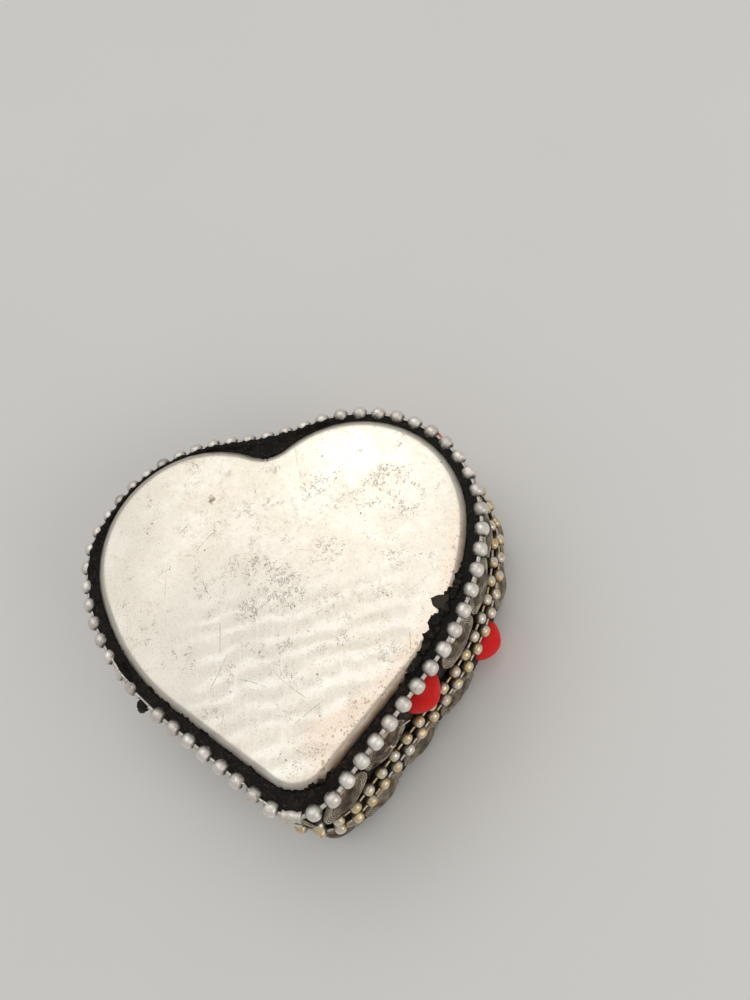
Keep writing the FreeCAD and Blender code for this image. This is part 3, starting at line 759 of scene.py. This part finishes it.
# ---------------------------------------------------------------- materials
class Finish:
    """A material's node tree, with short calls for the nodes that the finishes share.
    Every pattern is measured in millimetres on the object itself."""

    def __init__(self, name):
        self.material = bpy.data.materials.new(name)
        self.material.use_nodes = True
        self.tree = self.material.node_tree
        self.surface = self.tree.nodes["Principled BSDF"]
        place = self.add("ShaderNodeTexCoord").outputs["Object"]
        self.place = self.vector("SCALE", place, scale=1 / MM)
        self.colour = None

    def put(self, socket, value):
        """Links a socket to a node's output, or sets it to a constant."""
        if isinstance(value, bpy.types.NodeSocket):
            self.tree.links.new(value, socket)
        else:
            socket.default_value = value

    def add(self, kind, inputs=None, **settings):
        node = self.tree.nodes.new(kind)
        for key, value in settings.items():
            setattr(node, key, value)
        for key, value in (inputs or {}).items():
            self.put(node.inputs[key], value)
        return node

    def vector(self, operation, first, second=None, scale=None):
        node = self.add("ShaderNodeVectorMath", {0: first}, operation=operation)
        if second is not None:
            self.put(node.inputs[1], second)
        if scale is not None:
            self.put(node.inputs["Scale"], scale)
        return node.outputs["Value" if operation == "DISTANCE" else "Vector"]

    def math(self, operation, first, *more):
        """One operation over all the values, from left to right."""
        for value in more or (0.0,):
            first = self.add("ShaderNodeMath", {0: first, 1: value}, operation=operation).outputs[0]
        return first

    def times(self, *values):
        return self.math("MULTIPLY", *values)

    def plus(self, *values):
        return self.math("ADD", *values)

    def less(self, first, second):
        return self.math("SUBTRACT", first, second)

    def most(self, *values):
        return self.math("MAXIMUM", *values)

    def size_of(self, value):
        return self.math("ABSOLUTE", value)

    def step(self, value, low, high, start=0.0, end=1.0):
        """Smooth step from start to end while the value goes from low to high."""
        inputs = {"Value": value, "From Min": low, "From Max": high, "To Min": start, "To Max": end}
        node = self.add("ShaderNodeMapRange", inputs, interpolation_type="SMOOTHSTEP")
        return node.outputs["Result"]

    def stretched(self, turn, across, along):
        """The place turned about Z by an angle in degrees and scaled, for streaks."""
        inputs = {"Vector": self.place, "Rotation": (0, 0, math.radians(turn))}
        inputs["Scale"] = (across, along, across)
        return self.add("ShaderNodeMapping", inputs).outputs["Vector"]

    def noise(self, size, detail=3.0, rough=0.55, bend=0.0, at=None):
        """Noise whose lumps are about that many millimetres across."""
        inputs = {"Vector": self.place if at is None else at, "Scale": 1 / size}
        inputs.update({"Detail": detail, "Roughness": rough, "Distortion": bend})
        return self.add("ShaderNodeTexNoise", inputs).outputs["Fac"]

    def grains(self, size):
        """Distance from the nearest of scattered points, in spacings."""
        inputs = {"Vector": self.place, "Scale": 1 / size}
        return self.add("ShaderNodeTexVoronoi", inputs).outputs["Distance"]

    def dots(self, spacing, radius, share):
        """Scattered round specks of varied size, in millimetres; share of the places filled."""
        node = self.add("ShaderNodeTexVoronoi", {"Vector": self.place, "Scale": 1 / spacing})
        chance = self.add("ShaderNodeSeparateColor", {0: node.outputs["Color"]}).outputs[0]
        size = self.step(chance, 1 - share, 1, 0, radius / spacing)
        return self.math("LESS_THAN", node.outputs["Distance"], size)

    def scratch(self, x, y, turn, length, bend, width=0.06):
        """One fine curved scratch on the top, its middle at x, y and turned by degrees."""
        inputs = {"Vector": self.place, "Location": (x, y, 0)}
        inputs["Rotation"] = (0, 0, math.radians(turn))
        local = self.add("ShaderNodeMapping", inputs, vector_type="TEXTURE").outputs[0]
        along, across = self.along("X", local), self.along("Y", local)
        off = self.size_of(self.less(across, self.times(along, along, bend / length**2)))
        ends = self.step(self.size_of(along), length * 0.3, length * 0.5, 1, 0)
        return self.times(self.step(off, width * 0.4, width, 1, 0), ends)

    def mix(self, factor, first, second):
        """Second colour over the first, by a factor."""
        node = self.add("ShaderNodeMix", data_type="RGBA")
        for key, value in ((0, factor), (6, first), (7, second)):
            self.put(node.inputs[key], value)
        return node.outputs[2]

    def base(self, factor, first, second):
        """Starts the colour as a mix of two."""
        self.colour = self.mix(factor, (*first, 1), (*second, 1))

    def coat(self, factor, *colour):
        """Lays a colour over what the finish has so far."""
        self.colour = self.mix(factor, self.colour, (*colour, 1))

    def painted(self, name):
        """Value painted on the mesh."""
        return self.add("ShaderNodeAttribute", attribute_name=name).outputs["Fac"]

    def along(self, axis, at=None):
        place = self.place if at is None else at
        return self.add("ShaderNodeSeparateXYZ", {0: place}).outputs[axis]

    def spot(self, centre, inner, outer, at=None):
        """One at the centre, fading to nothing between two distances."""
        away = self.vector("DISTANCE", self.place if at is None else at, centre)
        return self.step(away, inner, outer, 1.0, 0.0)

    def line(self, value, middle, width):
        """One where the value is near the middle: a thin winding line."""
        return self.step(self.size_of(self.less(value, middle)), 0.0, width, 1.0, 0.0)

    def done(self, rough, height, depth, normal=None, **constants):
        """Sets the shader; depth is the bump's height in millimetres."""
        self.put(self.surface.inputs["Base Color"], self.colour)
        self.put(self.surface.inputs["Roughness"], rough)
        for key, value in constants.items():
            self.put(self.surface.inputs[key.replace("_", " ")], value)
        inputs = {"Height": height, "Distance": depth * MM, "Strength": 1.0}
        if normal is not None:
            inputs["Normal"] = normal
        bump = self.add("ShaderNodeBump", inputs)
        self.put(self.surface.inputs["Normal"], bump.outputs["Normal"])
        return self.material


def sheet_colours(f, cloud, x):
    """Cream grey sheet with faint green and pink tints, and painted shade that darkens it towards
    the left and lower left.
    """
    f.base(f.step(cloud, 0.38, 0.62), (0.85, 0.785, 0.68), (0.90, 0.855, 0.765))
    tint = f.noise(4.5, 4, 0.6, 0.6)
    f.coat(f.step(tint, 0.55, 0.68, 0, 0.3), 0.83, 0.85, 0.755)
    f.coat(f.step(tint, 0.45, 0.32, 0, 0.3), 0.91, 0.79, 0.71)
    mottle = f.noise(1.3, 4, 0.65)
    f.coat(f.step(mottle, 0.44, 0.62, 0.26, 0), 0.66, 0.60, 0.50)
    # Painted shade: darker towards the left and round a spot on the lower left, standing in for the
    # light falling off there.
    wear_and_shade = f.most(f.times(f.spot((-12, -11, 27), 5, 24), 0.85), f.step(x, -12, -25, 0, 0.55))
    f.coat(wear_and_shade, 0.68, 0.645, 0.58)


def ripples_with_painted_reflection(f, x, y):
    """Faint ripples across the lower half, with painted reflection in their bands and crests; gives
    where they are and how high they stand.
    """
    lower = f.times(f.step(y, 1.0, -7.0), f.step(x, -19, -11), f.step(x, 24, 17))
    rise = f.plus(f.times(x, -0.12), y, f.times(f.noise(8, 3, 0.6), 5.5))
    ripple = f.math("SINE", f.times(rise, 1.95))
    broken = f.noise(4.5, 3)
    # Painted reflection: darker bands and light crests along the ripples.
    band = f.times(lower, f.step(ripple, -0.5, 0.8), f.step(broken, 0.36, 0.54, 0.2, 1.0))
    f.coat(f.times(band, 0.5), 0.63, 0.585, 0.515)
    crest = f.times(lower, f.step(ripple, -0.2, -0.95), f.step(broken, 0.36, 0.54, 0.1, 0.4))
    f.coat(crest, 0.94, 0.92, 0.87)
    hair = f.noise(0.3, 2, 0.5, 0.0, f.stretched(-6, 1.0, 0.09))
    f.coat(f.times(lower, f.step(hair, 0.5, 0.72, 0, 0.3)), 0.93, 0.91, 0.87)
    return lower, ripple


def clusters(f, marks):
    """Where the specks crowd; the lid has more of them in its middle and on its right lobe."""
    patches = f.noise(3.2, 5, 0.68)
    cluster = f.step(patches, 0.48, 0.68, 0.02, 0.65)
    if not marks:
        return cluster
    centre = f.most(f.spot((-2.6, 1.0, 27), 0.5, 5.5), f.spot((0.4, -3.0, 27), 1.0, 6.0))
    centre = f.most(centre, f.spot((-5.5, -5.0, 27), 0.5, 4.0))
    centre = f.times(centre, f.step(patches, 0.34, 0.52))
    lobe = f.times(f.spot((20.0, 11.0, 27), 2.0, 10.0), f.step(patches, 0.42, 0.6), 0.85)
    middle = f.times(f.spot((8.0, 11.0, 27), 2.0, 9.0), f.step(patches, 0.42, 0.58), 0.7)
    return f.most(cluster, centre, lobe, middle)


def speckle(f, cluster):
    """Specks, winding hairlines and haze in the clusters, and a few pits anywhere."""
    fine = f.step(f.noise(1.0, 3, 0.65), 0.42, 0.54)
    fleck = f.plus(f.noise(0.19, 2, 0.6), f.times(f.step(cluster, 0.1, 0.8), fine, 0.14))
    pepper = f.times(f.dots(0.7, 0.18, 0.5), f.step(cluster, 0.12, 0.55), fine)
    few = f.times(f.dots(2.4, 0.2, 0.5), 0.8)
    pits = f.most(f.times(f.step(fleck, 0.64, 0.74), 0.62), f.times(pepper, 0.8), few)
    worms = f.line(f.noise(1.0, 3, 0.6, 0.5), 0.5, 0.016)
    worms = f.times(worms, f.step(f.noise(1.6, 4, 0.7), 0.46, 0.56), f.step(cluster, 0.05, 0.4))
    haze = f.times(cluster, f.step(f.noise(0.5, 4, 0.7), 0.42, 0.6), 0.34)
    f.coat(haze, 0.47, 0.43, 0.36)
    f.coat(f.times(worms, 0.5), 0.28, 0.24, 0.19)
    f.coat(f.times(pits, 0.72), 0.20, 0.17, 0.13)
    return pits


def scratches_on(f, draw):
    """Twenty broken scratches of their own place, turn, length and bend."""
    lines = []
    for _ in range(20):
        place = (draw.uniform(-22, 22), draw.uniform(-24, 20))
        shape = (draw.uniform(-90, 90), draw.uniform(1.2, 7.5), draw.uniform(-1.0, 1.0))
        lines.append(f.times(f.scratch(*place, *shape), draw.uniform(0.25, 0.75)))
    scratches = f.times(f.most(*lines), f.step(f.noise(0.7, 3, 0.6), 0.4, 0.5, 0.35, 1))
    f.coat(f.times(scratches, 0.75), 0.33, 0.28, 0.21)
    return scratches


def lid_stains(f, x, y):
    """Brown spot on the left lobe with a trail below it, a faint one above, and the cleft."""
    ragged = f.noise(0.7, 4, 0.75)
    shift = f.add("ShaderNodeTexNoise", {"Vector": f.place, "Scale": 1.1}).outputs["Color"]
    bent = f.vector("ADD", f.place, f.vector("SCALE", shift, scale=1.6))
    spot = f.times(f.spot((-9.5, 16.0, 28), 0.4, 0.95, bent), f.step(ragged, 0.32, 0.5, 0.4, 0.85))
    faint = f.times(f.spot((-6.2, 20.0, 28), 0.3, 1.1, bent), f.step(ragged, 0.35, 0.55), 0.35)
    off = f.size_of(f.plus(f.less(x, -8.9), f.times(y, -0.02)))
    streak = f.times(f.step(off, 0.1, 0.8, 1, 0), f.step(ragged, 0.5, 0.62))
    trail = f.times(f.spot((-9.6, 15.4, 27), 1.0, 5.2), streak, 0.4)
    cleft = f.times(f.spot((-0.4, 20.8, 27), 0.4, 1.6), f.step(ragged, 0.42, 0.55), 0.7)
    f.coat(f.most(spot, faint, trail, cleft), 0.20, 0.135, 0.085)


def rusty_flank(f, right):
    """Blush and rust specks along the lower right edge."""
    flat = f.vector("MULTIPLY", f.place, (1, 1, 0))
    inward = f.less(37.7, f.vector("DISTANCE", flat, (-6.14, 9.9, 0)))
    flank = f.times(inward, f.step(f.noise(1.5, 3), 0.3, 0.7, 0.8, 1.25))
    f.coat(f.times(right, f.step(flank, 4.2, 1.6), 0.45), 0.86, 0.66, 0.52)
    grit = f.most(f.dots(0.45, 0.2, 0.9), f.dots(0.8, 0.3, 0.6))
    rust = f.times(right, f.step(flank, 3.6, 0.7), grit, f.step(f.noise(0.9, 3, 0.65), 0.4, 0.54))
    f.coat(f.times(rust, 0.6), 0.30, 0.17, 0.10)


def soiled_and_shaded_edge(f, soft, right):
    """Painted shade on the rounded shoulder and the walls, where they turn from the light, grey on
    the left and browner on the right where lac has stained it.
    """
    level = f.size_of(f.along("Z", soft))
    near = f.times(f.step(f.noise(2.4, 3), 0.3, 0.6, 0.75, 1.1), f.plus(f.times(right, 0.3), 0.65))
    # Painted shade with some grime: the tilted shoulder is darkened, grey, and browner on the
    # right.
    soil_and_shade = f.times(f.step(level, 0.9995, 0.8), near)
    f.colour = f.mix(soil_and_shade, f.colour, f.mix(right, (0.40, 0.37, 0.31, 1), (0.42, 0.31, 0.23, 1)))
    return soil_and_shade


def tin_finish(name, marks):
    """Worn tinned sheet: cream grey, specked, scratched and faintly rippled; marks adds the
    stains of the lid."""
    f = Finish(name)
    x, y = f.along("X"), f.along("Y")
    right = f.times(f.step(x, -1, 5), f.step(y, 9, -3))
    cloud = f.noise(7, 4, 0.5)
    soft = f.add("ShaderNodeBevel", {"Radius": 0.8 * MM}, samples=8).outputs["Normal"]
    sheet_colours(f, cloud, x)
    lower, ripple = ripples_with_painted_reflection(f, x, y)
    pits = speckle(f, clusters(f, marks))
    scratches = scratches_on(f, random.Random(name))
    if marks:
        lid_stains(f, x, y)
    rusty_flank(f, right)
    soil_and_shade = soiled_and_shaded_edge(f, soft, right)
    rough = f.plus(f.step(cloud, 0.3, 0.7, 0.26, 0.2), f.times(pits, 0.25), f.times(soil_and_shade, 0.3))
    swell = f.noise(6.0, 2, 0.5, 0.3, f.stretched(-7, 0.4, 1.0))
    fuzz = f.plus(f.noise(0.35, 2), f.times(lower, ripple, 0.6))
    sunk = f.times(f.most(pits, scratches), -0.25)
    height = f.plus(f.times(swell, 0.08), sunk, f.times(fuzz, 0.04))
    return f.done(rough, height, 0.12, soft, Metallic=0.72)


def dulled_and_shaded(f, grime):
    """Grime and painted shade on the balls, rubbed off here and there."""
    return f.times(grime, f.step(f.noise(0.5, 3), 0.3, 0.6, 0.5, 1.0))


def silver_finish(name):
    """Plated ball chain, satin, with a little grime and painted shade towards its holes and on the
    side turned from the light.
    """
    f = Finish(name)
    grime = f.painted("grime")
    f.base(f.painted("tone"), (0.98, 0.94, 0.88), (0.66, 0.60, 0.54))
    patch = f.noise(0.9, 3, 0.6)
    f.coat(f.step(patch, 0.53, 0.68, 0, 0.55), 0.66, 0.55, 0.49)
    f.coat(f.step(patch, 0.45, 0.3, 0, 0.5), 0.97, 0.95, 0.91)
    # Painted shade and grime, dark brown, towards the holes and on the shaded side.
    f.coat(dulled_and_shaded(f, grime), 0.085, 0.07, 0.055)
    specks = f.times(f.dots(0.4, 0.09, 0.4), f.step(patch, 0.42, 0.56))
    f.coat(f.times(specks, 0.7), 0.13, 0.11, 0.09)
    rough = f.plus(f.step(patch, 0.3, 0.7, 0.42, 0.56), f.times(grime, 0.2))
    height = f.plus(f.times(f.noise(0.5, 3), 0.7), f.times(specks, -0.3))
    return f.done(rough, height, 0.05, Metallic=0.82)


def gilt_finish(name):
    """Small chain whose silver has worn through to brass."""
    f = Finish(name)
    grime = f.painted("grime")
    wear_and_shade = f.plus(f.noise(1.3, 3, 0.6), f.times(f.painted("tone"), 0.24))
    f.base(f.step(wear_and_shade, 0.47, 0.66), (0.85, 0.80, 0.72), (0.80, 0.62, 0.32))
    warm = f.noise(1.1, 2)
    f.coat(f.step(warm, 0.56, 0.7, 0, 0.6), 0.66, 0.40, 0.27)
    # Painted shade and grime, dark brown, towards the holes and on the shaded side.
    f.coat(dulled_and_shaded(f, grime), 0.075, 0.055, 0.04)
    specks = f.times(f.dots(0.4, 0.09, 0.4), f.step(warm, 0.42, 0.56))
    f.coat(f.times(specks, 0.6), 0.12, 0.09, 0.06)
    rough = f.plus(f.step(warm, 0.3, 0.7, 0.3, 0.46), f.times(grime, 0.2))
    height = f.times(f.noise(0.45, 3), 0.6)
    return f.done(rough, height, 0.05, Metallic=0.85)


def pewter_finish(name):
    """Stamped disc painted dark brown, a painted reflection of dark surroundings, bright only on
    the tops of its ridges with wear and painted highlight, and with painted shade in its grooves.
    """
    f = Finish(name)
    shine = f.painted("shine")
    # The dark brown base colour is a painted reflection of dark surroundings.
    f.base(f.painted("tone"), (0.10, 0.072, 0.046), (0.19, 0.145, 0.098))
    cloud = f.noise(2.2, 4, 0.6)
    f.coat(f.step(cloud, 0.44, 0.64), 0.30, 0.235, 0.165)
    f.coat(f.step(cloud, 0.46, 0.34, 0, 0.8), 0.035, 0.028, 0.02)
    # Wear and painted highlight on the ridge tops, and painted shade in the grooves between them.
    bright = f.times(f.most(shine, 0.0), f.step(f.noise(1.4, 3), 0.36, 0.54, 0.15, 1))
    f.coat(f.step(shine, -0.1, -0.9, 0, 0.8), 0.035, 0.024, 0.014)
    f.coat(f.times(bright, 0.85), 0.86, 0.76, 0.59)
    scratch = f.line(f.noise(2.4, 2, 0.5, 0.0, f.stretched(35, 1.0, 0.08)), 0.5, 0.006)
    f.coat(f.times(scratch, 0.5), 0.5, 0.45, 0.37)
    rough = f.less(f.step(cloud, 0.3, 0.7, 0.44, 0.28), f.times(bright, 0.06))
    height = f.plus(f.times(f.noise(0.6, 4, 0.6), 0.8), f.times(scratch, -0.2))
    return f.done(rough, height, 0.06, Metallic=0.8, Specular_IOR_Level=0.3)


def stone_finish(name):
    """Matte red glass paste, a little scuffed."""
    f = Finish(name)
    f.base(f.painted("tone"), (0.74, 0.008, 0.008), (0.84, 0.012, 0.010))
    cloud = f.noise(1.8, 3, 0.6)
    f.coat(f.step(cloud, 0.45, 0.7, 0, 0.4), 0.92, 0.03, 0.018)
    f.coat(f.step(cloud, 0.42, 0.3, 0, 0.4), 0.50, 0.004, 0.006)
    scuff = f.line(f.noise(1.6, 2, 0.5, 0.0, f.stretched(50, 1.0, 0.1)), 0.5, 0.006)
    f.coat(f.times(scuff, 0.2), 0.9, 0.25, 0.2)
    height = f.plus(f.times(f.noise(0.35, 3), 0.3), f.times(f.noise(1.8, 2), 0.6))
    rough = f.step(cloud, 0.3, 0.7, 0.55, 0.42)
    return f.done(rough, height, 0.05, Specular_IOR_Level=0.18)


def lac_finish(name):
    """Black lac: half glossy, crumbly, dusted brown where it is handled."""
    f = Finish(name)
    pit = f.painted("pit")
    cloud = f.noise(1.7, 4, 0.65)
    handled = f.times(f.step(f.along("X"), -6, 8), f.step(f.along("Y"), -12, -26))
    f.base(f.step(cloud, 0.42, 0.7), (0.0045, 0.0042, 0.0038), (0.016, 0.012, 0.009))
    dust = f.times(f.step(f.noise(0.45, 4, 0.7), 0.54, 0.68), f.step(f.noise(4.5, 2), 0.36, 0.54))
    f.coat(f.times(dust, 0.6), 0.10, 0.07, 0.045)
    f.coat(f.times(f.painted("bare"), 0.9), 0.055, 0.042, 0.030)
    brown = f.times(handled, f.step(f.noise(1.2, 4, 0.7), 0.5, 0.64), 0.6)
    f.coat(brown, 0.11, 0.055, 0.03)
    specks = f.times(f.step(f.grains(0.5), 0.14, 0.07), f.step(f.noise(2.6, 2), 0.5, 0.6))
    f.coat(f.times(specks, 0.6), 0.34, 0.24, 0.16)
    # Painted shade in the pits.
    f.coat(f.times(pit, 0.7), 0.003, 0.0025, 0.002)
    rough = f.plus(f.step(cloud, 0.35, 0.65, 0.3, 0.55), f.times(dust, 0.3))
    height = f.plus(f.noise(0.5, 5, 0.7), f.times(f.grains(0.55), 0.5))
    return f.done(rough, height, 0.12, Specular_IOR_Level=0.14)


def floor_finish(name):
    """Pale, very slightly uneven studio floor."""
    f = Finish(name)
    f.base(f.noise(60, 2), (0.86, 0.855, 0.84), (0.90, 0.89, 0.875))
    return f.done(0.75, f.noise(1.5, 2), 0.02)


# ---------------------------------------------------------------- stage
def place_camera():
    """Camera at the photograph's angle."""
    eye = Vector((32.65, -41.77, 144.13)) * MM
    right = Vector((0.973, -0.134, -0.189))
    up = Vector((0.197, 0.908, 0.369))
    back = Vector((0.122, -0.396, 0.910))
    data = bpy.data.cameras.new("camera")
    data.lens = 28.8
    data.sensor_width = 36.0
    data.clip_start = 0.01
    camera = linked("camera", data)
    camera.matrix_world = Matrix.Translation(eye) @ Matrix((right, up, back)).transposed().to_4x4()
    bpy.context.scene.camera = camera


def add_floor():
    """Floor a hair below the box, because two faces in one plane show black patches."""
    shape = Shape()
    corners = ((-1, -1), (1, -1), (1, 1), (-1, 1))
    shape.add([(x * FLOOR_HALF, y * FLOOR_HALF, FLOOR_LEVEL) for x, y in corners], [(0, 1, 2, 3)])
    floor = shape.piece("floor", smooth=False)
    floor.data.materials.append(floor_finish("floor"))


def add_light(name, place, aim, size, power, colour):
    """Round soft light at a place, aimed at another."""
    data = bpy.data.lights.new(name, "AREA")
    data.shape = "DISK"
    data.size = size
    data.energy = power
    data.color = colour
    turn = (Vector(aim) - Vector(place)).to_track_quat("-Z", "Y").to_matrix().to_4x4()
    linked(name, data).matrix_world = Matrix.Translation(place) @ turn


def light_studio():
    lobe = Vector((14.6, 17.7, PLATE_TOP)) * MM
    beam = Vector((-0.136, 0.449, 0.883)) * 0.55
    add_light("key", lobe + beam, lobe, 0.055, 0.024, (1.0, 0.99, 0.95))
    add_light("overhead", (-0.1, 0.25, 0.75), (0, 0, 0.02), 0.8, 1.52, (1.0, 0.985, 0.95))
    add_light("side", (0.5, -0.35, 0.4), (0, 0, 0.015), 0.4, 0.8, (1.0, 0.97, 0.92))
    world = bpy.data.worlds.new("world")
    world.use_nodes = True
    world.node_tree.nodes["Background"].inputs["Color"].default_value = (0.96, 0.95, 0.93, 1)
    world.node_tree.nodes["Background"].inputs["Strength"].default_value = 0.42
    bpy.context.scene.world = world
    bpy.context.scene.view_settings.view_transform = "Standard"


def finish_tins():
    """Finish of the two pressed tins, which keep their CAD shape."""
    for node, marks in (("lid_tin", True), ("base_tin", False)):
        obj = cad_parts[node]
        material = tin_finish(f"{node}_finish", marks)
        for slot in obj.material_slots:
            slot.material = material


def ornaments(body, seed):
    """All discs and stones of a body, and the seats that the lac wells up round."""
    draw = random.Random(seed)
    seats = []
    for node in sorted(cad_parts):
        if node.startswith(f"{body}_disc_"):
            seats.append(stamped_disc(node, body, draw))
        if node.startswith(f"{body}_cabochon_"):
            seats.append(cabochon(node, body, draw))
    return seats


def ring_places(balls):
    """Every place of the large chain, with the lost ball and the connector filled in."""
    places = in_ring_order(balls + [middle_of(node_points("lid_chain_connector"))])
    gaps = [np.linalg.norm(places[index] - places[index - 1]) for index in range(len(places))]
    widest = int(np.argmax(gaps))
    places.insert(widest, (places[widest] + places[widest - 1]) / 2)
    return places


looks = {
    "chain_silver": silver_finish("chain_silver"),
    "chain_gilt": gilt_finish("chain_gilt"),
    "disc": pewter_finish("disc_pewter"),
    "stone": stone_finish("red_stone"),
    "lac": lac_finish("black_lac"),
}
finish_tins()
top_balls = chain(
    "lid_top_balls", "lid_top_chain", "lid", "chain_silver", BIG_BALL, BIG_LINK, 11,
    dark=DARK_BALLS, crushed=CRUSHED_BALLS, open_seam=OPEN_SEAM,
)
crimped_tube("lid_chain_tube", "lid_chain_connector", "lid", "chain_silver")
chain("lid_rim_balls", "lid_rim_chain", "lid", "chain_gilt", SMALL_BALL, SMALL_LINK, 12)
chain("base_rim_balls", "base_rim_chain", "base", "chain_gilt", SMALL_BALL, SMALL_LINK, 13)
lid_seats = ornaments("lid", 21)
base_seats = ornaments("base", 22)
lac_band("lid_lac", "lid_lac_band", "lid", lid_seats, 31)
lac_band("base_lac", "base_lac_band", "base", base_seats, 32)

top_places = ring_places(top_balls)
tin = search_tree(["lid_tin"])
lac_skin("lid_lac_edge", tin, top_places, "lid")
lac_crumbs("lac_crumbs", tin, top_places, "lid", random.Random(42))
stuck_flake("lac_flake", FLAKE, "lid", random.Random(41))
discs = [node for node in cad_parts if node.startswith("lid_disc_")]
wall = search_tree(["lid_lac_band"] + discs)
bent_wires("loose_wires", wall, WIRES, "lid", random.Random(43))
stray_beads("stray_beads", wall, STRAYS, "lid", random.Random(44))

place_camera()
add_floor()
light_studio()
